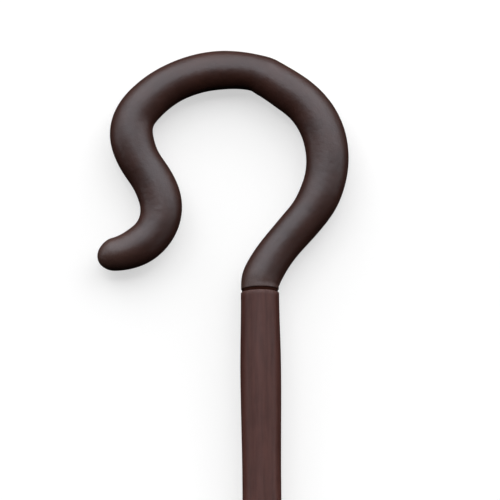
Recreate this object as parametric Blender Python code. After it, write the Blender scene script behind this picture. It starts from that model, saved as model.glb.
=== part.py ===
"""A shepherd's crook in moulded plastic, lying on its side, in metres with +Z up.

It is two mouldings that butt together: the hook, a round tube bent into a crook in one plane, and the
straight shaft. The staff lies along Y with its head at +Y, and the crook lies flat and opens towards -X.
The floor is the plane z = 0, and both tubes are flattened where they would dip below it.
"""

import math

import bmesh
import bpy
import numpy as np
from mathutils import Vector

# Both tubes: the sides of their round section. With 30 of them a flat one faces the floor, and a corner
# marks each edge as seen from above.
SIDES = 30

# The joint, a shadow groove between two softened rims
JOINT_DIAMETER = 0.0304
JOINT_GAP = 0.0003
GROOVE_HEIGHT = 0.0022
GROOVE_DEPTH = 0.0008
HOOK_RIM_ROUND = 0.0006
SHAFT_RIM_ROUND = 0.0006
SHAFT_LIP = 0.0002

# The hook's tube: a short straight neck, then bends up to the nose, each with its length, its turn to the
# left in degrees and the diameter at its end
NECK_LENGTH = 0.0022
HOOK_STRETCHES = (
    (0.008, -28, 0.0314),
    (0.032, -15, 0.0302),
    (0.025, -1, 0.0310),
    (0.030, 21, 0.0334),
    (0.043, 35, 0.0346),
    (0.042, 39, 0.0334),
    (0.027, 5, 0.0320),
    (0.012, 20, 0.0298),
    (0.032, 18, 0.0314),
    (0.027, 16, 0.0314),
    (0.042, 28, 0.0330),
    (0.026, 51, 0.0348),
    (0.027, 25, 0.0330),
    (0.023, -18, 0.0340),
    (0.042, -70, 0.0316),
    (0.041, -48, 0.0252),
)
BEND_EASE = 0.022
NOSE_ROUND = 0.013

# The shaft, by distance below the joint
SHAFT_LENGTH = 1.210
SWELL_DISTANCE = 0.066
SWELL_DIAMETER = 0.0328
WAIST_DISTANCE = 0.154
WAIST_DIAMETER = 0.0312
FOOT_DIAMETER = 0.0326
FOOT_ROUND = 0.002

# The staff lies on a small flat cut into its foot half, and both tubes share one level centreline
FLAT_DEPTH = 0.0003
AXIS_HEIGHT = FOOT_DIAMETER / 2 - FLAT_DEPTH

# How finely the rings are spaced, and the radius below which a ring is a point
BEND_STEP = 0.0005
HOOK_RING_STEP = 0.006
SHAFT_RINGS_EACH = 9
RIM_STEPS = 3
NOSE_STEPS = 7
POINT_RADIUS = 0.000001

# Finishes: linear colour and roughness
HOOK_COLOUR = (0.052, 0.024, 0.018)
HOOK_ROUGHNESS = 0.45
SHAFT_COLOUR = (0.080, 0.038, 0.033)
SHAFT_ROUGHNESS = 0.62
SHARP_EDGE = math.radians(50)


def clear_scene():
    for old in list(bpy.data.objects):
        bpy.data.objects.remove(old)


def plastic(name, colour, roughness):
    material = bpy.data.materials.new(name)
    material.use_nodes = True
    shader = material.node_tree.nodes["Principled BSDF"]
    shader.inputs["Base Color"].default_value = (*colour, 1)
    shader.inputs["Roughness"].default_value = roughness
    shader.inputs["Metallic"].default_value = 0
    return material


def quarter_turn(steps):
    """Angles from 0 to a right angle."""
    return np.linspace(0, math.pi / 2, steps + 1)


def rounded_rim(radius):
    """Each ring of a softened rim: how far it lies from the end face, and how far inside the radius."""
    return [(radius * (1 - math.cos(a)), radius * (1 - math.sin(a))) for a in quarter_turn(RIM_STEPS)]


def eased(places, values, at):
    """The values at the places, joined by S-shaped steps that are level at each place."""
    last = np.clip(np.searchsorted(places, at, side="right") - 1, 0, len(places) - 2)
    share = np.clip((at - places[last]) / (places[last + 1] - places[last]), 0, 1)
    return values[last] + (values[last + 1] - values[last]) * share * share * (3 - 2 * share)


def running_sum(rate):
    """The rate added up by trapezia along the bends, from zero."""
    return np.concatenate([[0], np.cumsum((rate[1:] + rate[:-1]) / 2 * BEND_STEP)])


def bent_centreline():
    """The bends' centreline, which sets out from the origin along +Y: distances, x, y and headings."""
    ends = np.cumsum([length for length, turn, diameter in HOOK_STRETCHES])
    distances = np.arange(0, ends[-1] + BEND_STEP / 2, BEND_STEP)
    curvature = np.zeros(len(distances))
    for end, (length, turn, diameter) in zip(ends, HOOK_STRETCHES):
        low = np.maximum(distances - BEND_STEP / 2, end - length)
        high = np.minimum(distances + BEND_STEP / 2, end)
        curvature += np.clip((high - low) / BEND_STEP, 0, 1) * math.radians(turn) / length
    # A bend starts and ends over a short way, not at once
    reach = round(BEND_EASE / BEND_STEP)
    weights = 1 - np.cos(2 * math.pi * (np.arange(reach) + 0.5) / reach)
    padded = np.pad(curvature, reach, mode="edge")
    curvature = np.convolve(padded, weights / weights.sum(), "same")[reach:-reach]
    headings = math.pi / 2 + running_sum(curvature)
    return distances, running_sum(np.cos(headings)), running_sum(np.sin(headings)), headings


def hook_rings():
    """The hook's rings from the joint to the nose, each with its x, y, heading and radius."""
    face = JOINT_GAP / 2
    rim_start = face + GROOVE_HEIGHT
    neck_radius = JOINT_DIAMETER / 2 - GROOVE_DEPTH
    rings = [(0, face, math.pi / 2, neck_radius), (0, rim_start, math.pi / 2, neck_radius)]

    ends = np.cumsum([0] + [length for length, turn, diameter in HOOK_STRETCHES])
    diameters = np.array([JOINT_DIAMETER] + [diameter for length, turn, diameter in HOOK_STRETCHES])
    nose_start = NECK_LENGTH + ends[-1] - NOSE_ROUND
    body_rings = round((nose_start - HOOK_RIM_ROUND) / HOOK_RING_STEP)
    body = np.linspace(HOOK_RIM_ROUND, nose_start, body_rings + 1)
    places = [(along, inward, 1) for along, inward in rounded_rim(HOOK_RIM_ROUND)]
    places += [(along, 0, 1) for along in body[1:-1]]
    places += [(nose_start + NOSE_ROUND * math.sin(a), 0, math.cos(a)) for a in quarter_turn(NOSE_STEPS)]

    distances, x, y, headings = bent_centreline()
    for along, inward, share in places:
        round_bends = max(along - NECK_LENGTH, 0)
        radius = (eased(ends, diameters, round_bends) / 2 - inward) * share
        across = np.interp(round_bends, distances, x)
        forward = rim_start + min(along, NECK_LENGTH) + np.interp(round_bends, distances, y)
        rings.append((across, forward, np.interp(round_bends, distances, headings), radius))
    return rings


def shaft_rings():
    """The shaft's rings from its foot up to the joint, each with its x, y, heading and radius."""
    rim_diameter = JOINT_DIAMETER + 2 * SHAFT_LIP
    places = np.array([0, SWELL_DISTANCE, WAIST_DISTANCE, SHAFT_LENGTH])
    diameters = np.array([rim_diameter, SWELL_DIAMETER, WAIST_DIAMETER, FOOT_DIAMETER])
    foot_rim = [(SHAFT_LENGTH - along, inward) for along, inward in rounded_rim(FOOT_ROUND)]
    joint_rim = list(reversed(rounded_rim(SHAFT_RIM_ROUND)))
    stops = [foot_rim[-1][0], WAIST_DISTANCE, SWELL_DISTANCE, joint_rim[0][0]]
    rings = foot_rim
    for below, above in zip(stops[:-1], stops[1:]):
        rings = rings + [(down, 0) for down in np.linspace(below, above, SHAFT_RINGS_EACH + 1)[1:]]
    rings = rings + joint_rim[1:]
    radii = [eased(places, diameters, down) / 2 - inward for down, inward in rings]
    top = -JOINT_GAP / 2
    return [(0, top - down, math.pi / 2, radius) for (down, inward), radius in zip(rings, radii)]


def tube(name, rings, material, parent):
    """A closed tube through the rings, with flat ends, or a point where the last ring has no radius."""
    shape = bmesh.new()
    loops = []
    for x, y, heading, radius in rings:
        centre = Vector((x, y, AXIS_HEIGHT))
        side = Vector((-math.sin(heading), math.cos(heading), 0)) * radius
        rise = Vector((0, 0, radius))
        if radius < POINT_RADIUS:
            loops.append([shape.verts.new(centre)])
            continue
        loop = []
        for k in range(SIDES):
            angle = 2 * math.pi * k / SIDES
            point = centre + side * math.cos(angle) + rise * math.sin(angle)
            point.z = max(point.z, 0)
            loop.append(shape.verts.new(point))
        loops.append(loop)
    shape.faces.new(reversed(loops[0]))
    for rear, front in zip(loops[:-1], loops[1:]):
        for k in range(SIDES):
            after = (k + 1) % SIDES
            if len(front) == 1:
                shape.faces.new((rear[k], rear[after], front[0]))
            else:
                shape.faces.new((rear[k], rear[after], front[after], front[k]))
    if len(loops[-1]) > 1:
        shape.faces.new(loops[-1])
    mesh = bpy.data.meshes.new(name)
    shape.to_mesh(mesh)
    shape.free()
    mesh.materials.append(material)
    mesh.shade_smooth()
    mesh.set_sharp_from_angle(angle=SHARP_EDGE)
    piece = bpy.data.objects.new(name, mesh)
    bpy.context.scene.collection.objects.link(piece)
    piece.parent = parent
    return piece


def centre_on_origin(staff, pieces):
    """Moves the staff so that the middle of its outline, seen from above, is over the origin."""
    for axis in (0, 1):
        places = [vertex.co[axis] for piece in pieces for vertex in piece.data.vertices]
        staff.location[axis] = -(min(places) + max(places)) / 2


def build_staff():
    clear_scene()
    staff = bpy.data.objects.new("staff", None)
    bpy.context.scene.collection.objects.link(staff)
    hook = tube("hook", hook_rings(), plastic("hook", HOOK_COLOUR, HOOK_ROUGHNESS), staff)
    shaft = tube("shaft", shaft_rings(), plastic("shaft", SHAFT_COLOUR, SHAFT_ROUGHNESS), staff)
    centre_on_origin(staff, [hook, shaft])


build_staff()
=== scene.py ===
"""A shepherd's crook in moulded plastic, lying on a pale floor and seen from above."""
import math

import bpy
import numpy as np
from mathutils import Matrix, Vector


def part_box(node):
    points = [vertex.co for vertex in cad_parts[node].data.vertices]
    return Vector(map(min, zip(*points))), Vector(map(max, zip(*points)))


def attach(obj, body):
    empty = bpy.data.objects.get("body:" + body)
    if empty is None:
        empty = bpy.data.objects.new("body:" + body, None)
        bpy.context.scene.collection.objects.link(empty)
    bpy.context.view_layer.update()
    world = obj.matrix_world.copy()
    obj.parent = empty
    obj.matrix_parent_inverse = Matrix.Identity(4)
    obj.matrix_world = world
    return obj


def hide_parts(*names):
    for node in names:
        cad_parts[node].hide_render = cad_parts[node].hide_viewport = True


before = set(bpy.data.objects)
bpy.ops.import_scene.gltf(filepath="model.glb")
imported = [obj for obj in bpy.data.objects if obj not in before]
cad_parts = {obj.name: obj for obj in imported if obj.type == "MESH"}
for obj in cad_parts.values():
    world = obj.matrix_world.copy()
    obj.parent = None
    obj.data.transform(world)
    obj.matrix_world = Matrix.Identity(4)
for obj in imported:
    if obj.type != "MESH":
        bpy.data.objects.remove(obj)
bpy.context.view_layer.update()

# The shaft: a straight round tube of dull reddish brown plastic, blow-moulded with its closed foot in one.
# It swells a little below the joint, narrows, then thickens slowly to the foot, whose underside has a small
# flat. Its softened upper rim, painted paler as a highlight, butts against the hook, and a dark groove marks
# the joint.
shaft_low, shaft_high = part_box("shaft")
hook_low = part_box("hook")[0]
AXIS_X = (shaft_low.x + shaft_high.x) / 2
JOINT_Y = (hook_low.y + shaft_high.y) / 2
AXIS_HEIGHT = 0.016
JOINT_DIAMETER = 0.0304
JOINT_GAP = 0.0003

SHAFT_LIP = 0.0002
SHAFT_RIM_ROUND = 0.0006
SWELL_DISTANCE = 0.066
SWELL_DIAMETER = 0.0328
WAIST_DISTANCE = 0.154
WAIST_DIAMETER = 0.0312
FOOT_DIAMETER = 0.0326
FOOT_ROUND = 0.002
SHAFT_RING_STEP = 0.003
ROUND_STEPS = 7
TUBE_SIDES = 112

# Its finish: linear colours, the reach of its painted rim highlight and of its foot wear, and how fine and
# how deep each pattern is
SHAFT_LIGHT = (0.075, 0.0290, 0.0235)
SHAFT_DARK = (0.050, 0.0188, 0.0150)
# The paler colour is a painted highlight on the joint rim, and wear at the foot
SHAFT_WORN_AND_HIGHLIGHT = (0.112, 0.062, 0.056)
SHAFT_ROUGHNESS = (0.36, 0.46)
SHAFT_SHEEN = 0.21
SHEEN_TINT = (0.77, 0.87, 0.96)
PLASTIC_IOR = 1.5
RIM_HIGHLIGHT_REACH = 0.0042
FOOT_WEAR_REACH = 0.012
STREAK_SCALE = 340.0
STREAK_STRETCH = (1.0, 1.0, 0.08)
STREAK_DEPTH = 0.00013
SHAFT_CLOUD_SCALE = 90.0
SHAFT_CLOUD_SHARE = 0.4
SHAFT_MOTTLING = (0.42, 0.98)
SHAFT_FLECK_SCALE = 900.0
FLECK_DEPTH = 0.00006
PALE_PATCHES = (0.2, 0.7)
PATTERN_ROUGHNESS = 0.55


def eased(places, values, at):
    """The values at the places, joined by S-shaped steps that are level at each place."""
    last = np.clip(np.searchsorted(places, at, side="right") - 1, 0, len(places) - 2)
    share = np.clip((at - places[last]) / (places[last + 1] - places[last]), 0, 1)
    return values[last] + (values[last + 1] - values[last]) * share * share * (3 - 2 * share)


def rounded_rim(radius):
    """The rings of a softened rim: how far each lies from the end face and inside the full radius."""
    turns = np.linspace(0, math.pi / 2, ROUND_STEPS + 1)
    return radius * (1 - np.cos(turns)), radius * (1 - np.sin(turns))


def shaft_line():
    """The shaft's centreline from the joint down to the foot: distances, places and half widths."""
    length = shaft_high.y - shaft_low.y
    top_along, top_inside = rounded_rim(SHAFT_RIM_ROUND)
    foot_along, foot_inside = rounded_rim(FOOT_ROUND)
    rings = round((length - SHAFT_RIM_ROUND - FOOT_ROUND) / SHAFT_RING_STEP)
    body = np.linspace(SHAFT_RIM_ROUND, length - FOOT_ROUND, rings + 1)[1:-1]
    along = np.concatenate([top_along, body, (length - foot_along)[::-1]])
    inside = np.concatenate([top_inside, np.zeros(len(body)), foot_inside[::-1]])
    places = np.array([0, SWELL_DISTANCE, WAIST_DISTANCE, length])
    diameters = np.array([JOINT_DIAMETER + 2 * SHAFT_LIP, SWELL_DIAMETER, WAIST_DIAMETER, FOOT_DIAMETER])
    half_widths = eased(places, diameters, along) / 2 - inside
    points = [(AXIS_X, shaft_high.y - distance, AXIS_HEIGHT) for distance in along]
    return along, points, half_widths


def add(tree, kind, inputs=(), **settings):
    """A node of that kind, with its settings, and its inputs either linked to sockets or set to values."""
    node = tree.nodes.new(kind)
    for name, value in settings.items():
        setattr(node, name, value)
    for name, value in dict(inputs).items():
        if isinstance(value, bpy.types.NodeSocket):
            tree.links.new(value, node.inputs[name])
        else:
            node.inputs[name].default_value = value
    return node


def maths(tree, operation, first, second):
    """What the operation makes of the two values."""
    return add(tree, "ShaderNodeMath", {0: first, 1: second}, operation=operation).outputs["Value"]


# Both tubes: how high the section is for its width, and how far and how finely the wall dips inwards
SECTION_HEIGHT = 0.994
UNEVENNESS = 0.00018
UNEVENNESS_SCALE = 55.0
UNEVENNESS_DETAIL = 1.0
MERGE_DISTANCE = 0.000001
SHARP_EDGE = math.radians(40)


def tube_tree():
    """Sweeps a round section along a line, with the faint unevenness of a blown tube, flat on the floor."""
    tree = bpy.data.node_groups.new("moulded_tube", "GeometryNodeTree")
    for name, kind in (
        ("Centreline", "NodeSocketGeometry"),
        ("Sides", "NodeSocketInt"),
        ("Axis height", "NodeSocketFloat"),
        ("Section height", "NodeSocketFloat"),
        ("Unevenness", "NodeSocketFloat"),
        ("Unevenness scale", "NodeSocketFloat"),
        ("Seed", "NodeSocketFloat"),
        ("Sharp edge", "NodeSocketFloat"),
        ("Plastic", "NodeSocketMaterial"),
    ):
        tree.interface.new_socket(name, in_out="INPUT", socket_type=kind)
    tree.interface.new_socket("Tube", in_out="OUTPUT", socket_type="NodeSocketGeometry")
    given = add(tree, "NodeGroupInput").outputs

    # The round section, which remembers its own corners so that the finish can follow the tube
    circle = add(tree, "GeometryNodeCurvePrimitiveCircle", {"Resolution": given["Sides"], "Radius": 1.0})
    position = add(tree, "GeometryNodeInputPosition").outputs["Position"]
    section = add(
        tree, "GeometryNodeStoreNamedAttribute",
        {"Geometry": circle.outputs["Curve"], "Name": "corner", "Value": position},
        data_type="FLOAT_VECTOR",
    )
    line = add(tree, "GeometryNodeMeshToCurve", {"Mesh": given["Centreline"]})
    level = add(tree, "GeometryNodeSetCurveNormal", {"Curve": line.outputs["Curve"]}, mode="Z_UP")
    half_width = add(tree, "GeometryNodeInputNamedAttribute", {"Name": "half_width"}, data_type="FLOAT")
    swept = add(
        tree, "GeometryNodeCurveToMesh",
        {
            "Curve": level.outputs["Curve"],
            "Profile Curve": section.outputs["Geometry"],
            "Scale": half_width.outputs["Attribute"],
            "Fill Caps": True,
        },
    )
    closed = add(
        tree, "GeometryNodeMergeByDistance", {"Geometry": swept.outputs["Mesh"], "Distance": MERGE_DISTANCE}
    )

    # Where each point would be on the tube laid out straight, in metres: across, up and along
    corner = add(tree, "GeometryNodeInputNamedAttribute", {"Name": "corner"}, data_type="FLOAT_VECTOR")
    across = add(tree, "ShaderNodeVectorMath", {0: corner.outputs["Attribute"]}, operation="SCALE")
    across.inputs["Scale"].default_value = JOINT_DIAMETER / 2
    along = add(tree, "GeometryNodeInputNamedAttribute", {"Name": "along"}, data_type="FLOAT")
    along_only = add(tree, "ShaderNodeCombineXYZ", {"Z": along.outputs["Attribute"]})
    straight = add(
        tree, "ShaderNodeVectorMath",
        {0: across.outputs["Vector"], 1: along_only.outputs["Vector"]}, operation="ADD",
    )
    mapped = add(
        tree, "GeometryNodeStoreNamedAttribute",
        {"Geometry": closed.outputs["Geometry"], "Name": "straight", "Value": straight.outputs["Vector"]},
        data_type="FLOAT_VECTOR",
    )

    # The wall dips a little here and there, never outwards
    dips = add(
        tree, "ShaderNodeTexNoise",
        {
            "Vector": straight.outputs["Vector"],
            "W": given["Seed"],
            "Scale": given["Unevenness scale"],
            "Detail": UNEVENNESS_DETAIL,
        },
        noise_dimensions="4D",
    )
    depth = maths(tree, "MULTIPLY", dips.outputs["Fac"], given["Unevenness"])
    inwards = maths(tree, "MULTIPLY", depth, -1.0)
    normal = add(tree, "GeometryNodeInputNormal").outputs["Normal"]
    offset = add(tree, "ShaderNodeVectorMath", {0: normal, "Scale": inwards}, operation="SCALE")
    uneven = add(
        tree, "GeometryNodeSetPosition",
        {"Geometry": mapped.outputs["Geometry"], "Offset": offset.outputs["Vector"]},
    )

    # The section is a hair lower than it is wide, and flat where it meets the floor
    parts = add(tree, "ShaderNodeSeparateXYZ", {0: position}).outputs
    above = maths(tree, "SUBTRACT", parts["Z"], given["Axis height"])
    lowered = add(
        tree, "ShaderNodeMath",
        {0: above, 1: given["Section height"], 2: given["Axis height"]}, operation="MULTIPLY_ADD",
    )
    on_floor = maths(tree, "MAXIMUM", lowered.outputs["Value"], 0.0)
    settled = add(tree, "ShaderNodeCombineXYZ", {"X": parts["X"], "Y": parts["Y"], "Z": on_floor})
    lying = add(
        tree, "GeometryNodeSetPosition",
        {"Geometry": uneven.outputs["Geometry"], "Position": settled.outputs["Vector"]},
    )

    # Smooth all over, apart from the edges of the joint faces and of the groove
    smooth = add(
        tree, "GeometryNodeSetShadeSmooth", {"Geometry": lying.outputs["Geometry"], "Shade Smooth": True}
    )
    bend = add(tree, "GeometryNodeInputMeshEdgeAngle").outputs["Unsigned Angle"]
    sharp = maths(tree, "GREATER_THAN", bend, given["Sharp edge"])
    edged = add(
        tree, "GeometryNodeSetShadeSmooth",
        {"Geometry": smooth.outputs["Geometry"], "Selection": sharp, "Shade Smooth": False}, domain="EDGE",
    )
    whole = add(tree, "GeometryNodeRealizeInstances", {"Geometry": edged.outputs["Geometry"]})
    finished = add(
        tree, "GeometryNodeSetMaterial",
        {"Geometry": whole.outputs["Geometry"], "Material": given["Plastic"]},
    )
    add(tree, "NodeGroupOutput", {"Tube": finished.outputs["Geometry"]})
    return tree


TUBE_TREE = tube_tree()


def moulded_tube(name, line, plastic, seed):
    """A finished tube along the line, as a plain mesh."""
    along, points, half_widths = line
    mesh = bpy.data.meshes.new(name + "_line")
    mesh.from_pydata(points, [(i, i + 1) for i in range(len(points) - 1)], [])
    for name_of_values, values in (("along", along), ("half_width", half_widths)):
        held = mesh.attributes.new(name_of_values, "FLOAT", "POINT")
        held.data.foreach_set("value", np.array(values, np.float32))
    guide = bpy.data.objects.new(name + "_line", mesh)
    bpy.context.scene.collection.objects.link(guide)
    sweep = guide.modifiers.new("tube", "NODES")
    sweep.node_group = TUBE_TREE
    values = {
        "Sides": TUBE_SIDES,
        "Axis height": AXIS_HEIGHT,
        "Section height": SECTION_HEIGHT,
        "Unevenness": UNEVENNESS,
        "Unevenness scale": UNEVENNESS_SCALE,
        "Seed": seed,
        "Sharp edge": SHARP_EDGE,
        "Plastic": plastic,
    }
    for item in TUBE_TREE.interface.items_tree:
        if item.name in values:
            sweep[item.identifier] = values[item.name]
    evaluated = guide.evaluated_get(bpy.context.evaluated_depsgraph_get())
    made = bpy.data.meshes.new_from_object(evaluated)
    made.name = name
    bpy.data.objects.remove(guide)
    tube = bpy.data.objects.new(name, made)
    bpy.context.scene.collection.objects.link(tube)
    return tube


def fade(tree, value, start, end):
    """Rises smoothly from 0 where the value is at the start to 1 where it is at the end."""
    node = add(
        tree, "ShaderNodeMapRange", {"Value": value, "From Min": start, "From Max": end},
        interpolation_type="SMOOTHSTEP",
    )
    return node.outputs["Result"]


def noise(tree, vector, scale, detail, seed):
    """A cloudy pattern between 0 and 1."""
    node = add(
        tree, "ShaderNodeTexNoise",
        {"Vector": vector, "W": seed, "Scale": scale, "Detail": detail, "Roughness": PATTERN_ROUGHNESS},
        noise_dimensions="4D",
    )
    return node.outputs["Fac"]


def blend(tree, share, first, second):
    """The first colour where the share is 0 and the second where it is 1."""
    # The node's colour sockets are taken by number, because its other sockets have the same names
    node = add(tree, "ShaderNodeMix", data_type="RGBA")
    for socket, value in ((0, share), (6, first), (7, second)):
        if isinstance(value, bpy.types.NodeSocket):
            tree.links.new(value, node.inputs[socket])
        else:
            node.inputs[socket].default_value = (*value, 1)
    return node.outputs[2]


def new_plastic(name, sheen):
    """A Principled plastic with no pattern yet: material, tree, shader, and the tube's straight places."""
    material = bpy.data.materials.new(name)
    material.use_nodes = True
    tree = material.node_tree
    shader = tree.nodes["Principled BSDF"]
    shader.inputs["IOR"].default_value = PLASTIC_IOR
    shader.inputs["Specular IOR Level"].default_value = sheen
    shader.inputs["Specular Tint"].default_value = (*SHEEN_TINT, 1)
    straight = add(tree, "ShaderNodeAttribute", attribute_name="straight").outputs["Vector"]
    return material, tree, shader, straight


def surface(tree, shader, colour, rough_share, roughness, waves, grain):
    """Joins the patterns to the shader: its colour, its roughness between two values, and its fine relief.

    The waves and the grain each come with their depth in metres."""
    tree.links.new(colour, shader.inputs["Base Color"])
    spread = add(
        tree, "ShaderNodeMapRange", {"Value": rough_share, "To Min": roughness[0], "To Max": roughness[1]}
    )
    tree.links.new(spread.outputs["Result"], shader.inputs["Roughness"])
    broad = add(tree, "ShaderNodeBump", {"Height": waves[0], "Distance": waves[1]})
    fine = add(
        tree, "ShaderNodeBump", {"Height": grain[0], "Distance": grain[1], "Normal": broad.outputs["Normal"]}
    )
    tree.links.new(fine.outputs["Normal"], shader.inputs["Normal"])


def shaft_plastic():
    """Dull plastic with faint streaks along the tube, rubbed paler at the foot, and painted paler at the
    joint rim as a highlight.
    """
    material, tree, shader, straight = new_plastic("shaft_plastic", SHAFT_SHEEN)
    along = add(tree, "ShaderNodeSeparateXYZ", {0: straight}).outputs["Z"]
    stretched = add(tree, "ShaderNodeMapping", {"Vector": straight, "Scale": STREAK_STRETCH})
    streaks = noise(tree, stretched.outputs["Vector"], STREAK_SCALE, detail=3.0, seed=1.0)
    clouds = noise(tree, straight, SHAFT_CLOUD_SCALE, detail=4.0, seed=2.0)
    flecks = noise(tree, straight, SHAFT_FLECK_SCALE, detail=2.0, seed=3.0)
    mottling = maths(tree, "ADD", maths(tree, "MULTIPLY", clouds, SHAFT_CLOUD_SHARE), streaks)
    plain = blend(tree, fade(tree, mottling, *SHAFT_MOTTLING), SHAFT_DARK, SHAFT_LIGHT)

    # Painted highlight along the joint rim, and wear at the foot, both broken into patches
    rim = fade(tree, along, RIM_HIGHLIGHT_REACH, 0.0)
    length = shaft_high.y - shaft_low.y
    foot = fade(tree, along, length - FOOT_WEAR_REACH, length)
    patchy = fade(tree, flecks, *PALE_PATCHES)
    paler_share = maths(tree, "MULTIPLY", maths(tree, "ADD", rim, foot), patchy)
    colour = blend(tree, paler_share, plain, SHAFT_WORN_AND_HIGHLIGHT)
    surface(tree, shader, colour, clouds, SHAFT_ROUGHNESS, (streaks, STREAK_DEPTH), (flecks, FLECK_DEPTH))
    return material


shaft = moulded_tube("shaft_tube", shaft_line(), shaft_plastic(), seed=3.0)
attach(shaft, "root")
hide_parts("shaft")

# The hook: a round tube of satin brown plastic, moulded in one piece and bent in one plane into a crook. It
# leans off the shaft's line above a short neck, and ends in a rounded nose, painted paler as a highlight,
# that turns outwards. A step under its rim, painted blackish as shade, makes the groove at the joint.

# Each bend's length, its turn to the left in degrees, and the diameter at its end
HOOK_STRETCHES = (
    (0.008, -28, 0.0314),
    (0.032, -15, 0.0302),
    (0.025, -1, 0.0310),
    (0.030, 21, 0.0334),
    (0.043, 35, 0.0346),
    (0.042, 39, 0.0334),
    (0.027, 5, 0.0320),
    (0.012, 20, 0.0298),
    (0.032, 18, 0.0314),
    (0.027, 16, 0.0314),
    (0.042, 28, 0.0330),
    (0.026, 51, 0.0348),
    (0.027, 25, 0.0330),
    (0.023, -18, 0.0340),
    (0.042, -70, 0.0316),
    (0.041, -48, 0.0252),
)
NECK_LENGTH = 0.0022
BEND_EASE = 0.022
BEND_STEP = 0.0005
NOSE_ROUND = 0.013
NOSE_STEPS = 20
GROOVE_HEIGHT = 0.0022
GROOVE_DEPTH = 0.0008
GROOVE_CORNER = 0.00005
HOOK_RIM_ROUND = 0.0006
HOOK_RING_STEP = 0.0015

# Its finish, as the shaft's is given
HOOK_LIGHT = (0.0430, 0.0140, 0.0085)
HOOK_DARK = (0.0300, 0.0090, 0.0050)
# A painted highlight: the paler colour at the nose and over the neck above the joint
HOOK_HIGHLIGHT = (0.068, 0.034, 0.026)
HOOK_ROUGHNESS = (0.41, 0.51)
HOOK_SHEEN = 0.64
NOSE_HIGHLIGHT_REACH = 0.045
NECK_HIGHLIGHT_REACH = 0.020
HOOK_CLOUD_SCALE = 48.0
HOOK_MOTTLING = (0.3, 0.7)
BLOTCH_SCALE = 210.0
BLOTCH_DEPTH = 0.00030
HOOK_FLECK_SCALE = 1100.0
# Painted shade: the blackish colours laid in the groove under the hook's rim
GROOVE_SHADE_DARK = (0.018, 0.006, 0.004)
GROOVE_SHADE_BROWN = (0.030, 0.011, 0.008)
GROOVE_SHADE_SCALE = 300.0
GROOVE_SHADE_ROUGHNESS = 1.0


def running_sum(rate):
    """The rate added up by trapezia along the bends, from zero."""
    return np.concatenate([[0], np.cumsum((rate[1:] + rate[:-1]) / 2 * BEND_STEP)])


def bent_centreline():
    """The bends' centreline, which sets out from the joint along +Y: distances, x and y."""
    ends = np.cumsum([length for length, turn, diameter in HOOK_STRETCHES])
    distances = np.arange(0, ends[-1] + BEND_STEP / 2, BEND_STEP)
    curvature = np.zeros(len(distances))
    for end, (length, turn, diameter) in zip(ends, HOOK_STRETCHES):
        low = np.maximum(distances - BEND_STEP / 2, end - length)
        high = np.minimum(distances + BEND_STEP / 2, end)
        curvature += np.clip((high - low) / BEND_STEP, 0, 1) * math.radians(turn) / length
    # A bend starts and ends over a short way, not at once
    reach = round(BEND_EASE / BEND_STEP)
    weights = 1 - np.cos(2 * math.pi * (np.arange(reach) + 0.5) / reach)
    padded = np.pad(curvature, reach, mode="edge")
    curvature = np.convolve(padded, weights / weights.sum(), "same")[reach:-reach]
    headings = math.pi / 2 + running_sum(curvature)
    return distances, running_sum(np.cos(headings)), running_sum(np.sin(headings))


def hook_line():
    """The hook's centreline from the joint to the nose: distances, places and half widths."""
    ends = np.cumsum([0] + [length for length, turn, diameter in HOOK_STRETCHES])
    diameters = np.array([JOINT_DIAMETER] + [diameter for length, turn, diameter in HOOK_STRETCHES])
    nose_start = NECK_LENGTH + ends[-1] - NOSE_ROUND
    rim_along, rim_inside = rounded_rim(HOOK_RIM_ROUND)
    rings = round((nose_start - HOOK_RIM_ROUND) / HOOK_RING_STEP)
    body = np.linspace(HOOK_RIM_ROUND, nose_start, rings + 1)[1:-1]
    nose_turns = np.linspace(0, math.pi / 2, NOSE_STEPS + 1)
    along = np.concatenate([rim_along, body, nose_start + NOSE_ROUND * np.sin(nose_turns)])
    round_bends = np.maximum(along - NECK_LENGTH, 0)
    half_widths = eased(ends, diameters, round_bends) / 2
    half_widths[:len(rim_inside)] -= rim_inside
    half_widths[-len(nose_turns):] *= np.cos(nose_turns)

    distances, x, y = bent_centreline()
    rim_start = JOINT_GAP / 2 + GROOVE_HEIGHT
    groove = [
        (AXIS_X, JOINT_Y + JOINT_GAP / 2, AXIS_HEIGHT),
        (AXIS_X, JOINT_Y + rim_start - GROOVE_CORNER, AXIS_HEIGHT),
    ]
    groove_half = JOINT_DIAMETER / 2 - GROOVE_DEPTH
    across = AXIS_X + np.interp(round_bends, distances, x)
    forward = JOINT_Y + rim_start + np.minimum(along, NECK_LENGTH) + np.interp(round_bends, distances, y)
    points = groove + [(a, b, AXIS_HEIGHT) for a, b in zip(across, forward)]
    return (
        np.concatenate([[-rim_start, 0], along]),
        points,
        np.concatenate([[groove_half, groove_half], half_widths]),
    )


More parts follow.
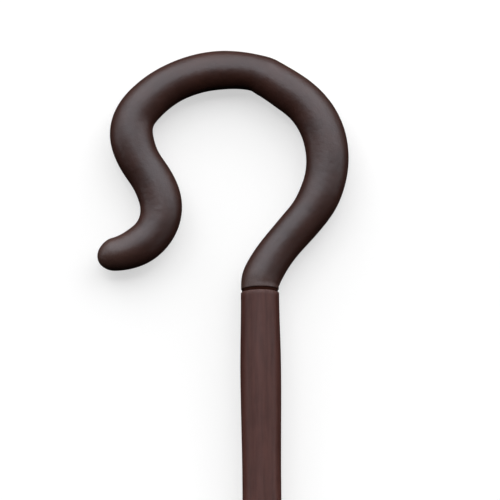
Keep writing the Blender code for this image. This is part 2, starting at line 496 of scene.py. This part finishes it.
def hook_plastic():
    """Satin plastic with a fine moulded grain, painted paler at the nose and by the joint as a highlight."""
    material, tree, shader, straight = new_plastic("hook_plastic", HOOK_SHEEN)
    along = add(tree, "ShaderNodeSeparateXYZ", {0: straight}).outputs["Z"]
    clouds = noise(tree, straight, HOOK_CLOUD_SCALE, detail=4.0, seed=4.0)
    blotches = noise(tree, straight, BLOTCH_SCALE, detail=3.0, seed=5.0)
    flecks = noise(tree, straight, HOOK_FLECK_SCALE, detail=2.0, seed=6.0)
    plain = blend(tree, fade(tree, clouds, *HOOK_MOTTLING), HOOK_DARK, HOOK_LIGHT)

    tip = hook_line()[0][-1]
    # Painted highlight at the nose and above the joint, in patches
    nose = fade(tree, along, tip - NOSE_HIGHLIGHT_REACH, tip)
    neck = fade(tree, along, NECK_HIGHLIGHT_REACH, 0.0)
    patchy = fade(tree, flecks, *PALE_PATCHES)
    paler_share = maths(tree, "MULTIPLY", maths(tree, "ADD", nose, neck), patchy)
    colour = blend(tree, paler_share, plain, HOOK_HIGHLIGHT)
    surface(tree, shader, colour, blotches, HOOK_ROUGHNESS, (blotches, BLOTCH_DEPTH), (flecks, FLECK_DEPTH))
    return material


def groove_painted_shade():
    """Painted shade for the groove: matt blackish, a little browner in places."""
    material, tree, shader, straight = new_plastic("groove_painted_shade", sheen=0.0)
    patches = noise(tree, straight, GROOVE_SHADE_SCALE, detail=2.0, seed=7.0)
    tree.links.new(blend(tree, patches, GROOVE_SHADE_DARK, GROOVE_SHADE_BROWN), shader.inputs["Base Color"])
    shader.inputs["Roughness"].default_value = GROOVE_SHADE_ROUGHNESS
    return material


def lay_painted_shade(tube, material):
    """Gives the painted shade to the faces under the tube's rim, where its straight places are negative."""
    tube.data.materials.append(material)
    shade_index = len(tube.data.materials) - 1
    heights = [place.vector.z for place in tube.data.attributes["straight"].data]
    for face in tube.data.polygons:
        if sum(heights[corner] for corner in face.vertices) < 0:
            face.material_index = shade_index


hook = moulded_tube("hook_tube", hook_line(), hook_plastic(), seed=8.0)
# The groove under the rim is painted blackish as shade
lay_painted_shade(hook, groove_painted_shade())
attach(hook, "root")
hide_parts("hook")

# The floor: a plain white sheet of opal plastic lit from below, so that shadows on it stay faint. It is wide
# enough to fill every view, and sends no light up to the staff.
FLOOR_SIZE = 24.0
FLOOR_COLOUR = (0.42, 0.42, 0.42)
FLOOR_ROUGHNESS = 0.9
FLOOR_GLOW = 0.56

floor_mesh = bpy.data.meshes.new("floor")
reach = FLOOR_SIZE / 2
corners = [(-reach, -reach, 0), (reach, -reach, 0), (reach, reach, 0), (-reach, reach, 0)]
floor_mesh.from_pydata(corners, [], [(0, 1, 2, 3)])
floor = bpy.data.objects.new("floor", floor_mesh)
bpy.context.scene.collection.objects.link(floor)
floor_matt = bpy.data.materials.new("floor_matt")
floor_matt.use_nodes = True
floor_shader = floor_matt.node_tree.nodes["Principled BSDF"]
floor_shader.inputs["Base Color"].default_value = (*FLOOR_COLOUR, 1)
floor_shader.inputs["Roughness"].default_value = FLOOR_ROUGHNESS
floor_shader.inputs["Specular IOR Level"].default_value = 0
floor_shader.inputs["Emission Color"].default_value = (1, 1, 1, 1)
floor_shader.inputs["Emission Strength"].default_value = FLOOR_GLOW
floor_mesh.materials.append(floor_matt)
floor.visible_diffuse = False
floor.visible_glossy = False

# The lights: a bank of large soft boxes curves over the staff's head from side to side, in rows that lean
# from overhead to beyond the head. A box low on each side lights the edges, one overhead makes the gleam
# along the tube, and small ones light the shaft and its foot.
HEAD = Vector((0, hook_low.y, AXIS_HEIGHT))
HEAD_DISTANCE = 2.6
BANK_SIZE = 1.2
BANK_LEANS = (25, 50, 75)

# Each column of the bank, by its degrees aside and its power
BANK_COLUMNS = ((-50, 5.0), (-25, 13.0), (0, 8.5), (25, 12.0), (50, 7.0))
EDGE_SIZE = 0.8
EDGE_LEAN = 45
EDGE_ASIDE = 78
EDGE_POWER = 6.2
GLEAM_SIZE = 0.5
GLEAM_LEAN = 15
GLEAM_ASIDE = -2
GLEAM_POWER = 6.0
SMALL_BOX_SIZE = 0.5
SMALL_BOX_SPREAD = math.radians(65)
SMALL_BOX_POWER = 1.5

# Each small box, by how far below the joint it points, and by where it stands from that spot
SMALL_BOXES = (
    (0.66, (-0.8, 0, 0.4)),
    (0.66, (0.8, 0, 0.4)),
    (1.10, (-0.8, 0, 0.4)),
    (1.10, (0.8, 0, 0.4)),
    (1.21, (0, -0.4, 0.65)),
)
ROOM_COLOUR = (0.9, 0.9, 0.9)
ROOM_STRENGTH = 0.005


def soft_box(name, place, aim, size, power, spread=math.pi):
    """A square light at the place that faces the aim, with its light spread over that angle."""
    light = bpy.data.lights.new(name, "AREA")
    light.size = size
    light.energy = power
    light.spread = spread
    lamp = bpy.data.objects.new(name, light)
    lamp.location = place
    lamp.rotation_euler = (place - aim).to_track_quat("Z", "Y").to_euler()
    lamp.visible_camera = False
    bpy.context.scene.collection.objects.link(lamp)


def beyond_head(lean, aside):
    """The place of a light that leans from overhead towards the head, and stands aside, by those degrees."""
    high, side = math.radians(lean), math.radians(aside)
    direction = Vector((math.sin(side), math.sin(high) * math.cos(side), math.cos(high) * math.cos(side)))
    return HEAD + direction * HEAD_DISTANCE


for bank_lean in BANK_LEANS:
    for column_aside, column_power in BANK_COLUMNS:
        box_name = f"bank_{bank_lean}_{column_aside}"
        soft_box(box_name, beyond_head(bank_lean, column_aside), HEAD, BANK_SIZE, column_power)
for side in (-1, 1):
    soft_box(f"edge_{side}", beyond_head(EDGE_LEAN, side * EDGE_ASIDE), HEAD, EDGE_SIZE, EDGE_POWER)
soft_box("gleam", beyond_head(GLEAM_LEAN, GLEAM_ASIDE), HEAD, GLEAM_SIZE, GLEAM_POWER)
for number, (below_joint, offset) in enumerate(SMALL_BOXES):
    lit = Vector((AXIS_X, JOINT_Y - below_joint, AXIS_HEIGHT))
    place = lit + Vector(offset)
    soft_box(f"small_{number}", place, lit, SMALL_BOX_SIZE, SMALL_BOX_POWER, SMALL_BOX_SPREAD)

world = bpy.data.worlds.new("studio")
bpy.context.scene.world = world
world.use_nodes = True
world.node_tree.nodes["Background"].inputs["Color"].default_value = (*ROOM_COLOUR, 1)
world.node_tree.nodes["Background"].inputs["Strength"].default_value = ROOM_STRENGTH

# The camera looks down on the crook from a little towards the foot, level but for the staff's slight lean.
# A very long lens keeps the picture nearly free of perspective.
PICTURE_WIDTH = 0.3994
VIEW_TILT = math.radians(11.5)
STAFF_LEAN = math.radians(0.543)
LENS = 1500
SENSOR = 36
FARTHEST_SEEN = 100

# Where the bends start, in metres to the right of the picture's middle and above it
BENDS_IN_PICTURE = (0.00794, -0.0296)

staff_up = Vector((0, math.cos(VIEW_TILT), math.sin(VIEW_TILT)))
picture_right = Vector((1, 0, 0)) * math.cos(STAFF_LEAN) - staff_up * math.sin(STAFF_LEAN)
picture_up = Vector((1, 0, 0)) * math.sin(STAFF_LEAN) + staff_up * math.cos(STAFF_LEAN)
towards_camera = picture_right.cross(picture_up)
bends_start = Vector((AXIS_X, JOINT_Y + JOINT_GAP / 2 + GROOVE_HEIGHT + NECK_LENGTH, AXIS_HEIGHT))
picture_middle = bends_start - picture_right * BENDS_IN_PICTURE[0] - picture_up * BENDS_IN_PICTURE[1]
distance = PICTURE_WIDTH * LENS / SENSOR

camera_data = bpy.data.cameras.new("camera")
camera_data.lens = LENS
camera_data.sensor_width = SENSOR
camera_data.clip_end = FARTHEST_SEEN
camera = bpy.data.objects.new("camera", camera_data)
turn = Matrix((picture_right, picture_up, towards_camera)).transposed().to_4x4()
camera.matrix_world = Matrix.Translation(picture_middle + towards_camera * distance) @ turn
bpy.context.scene.collection.objects.link(camera)
bpy.context.scene.camera = camera
bpy.context.scene.view_settings.view_transform = "Standard"
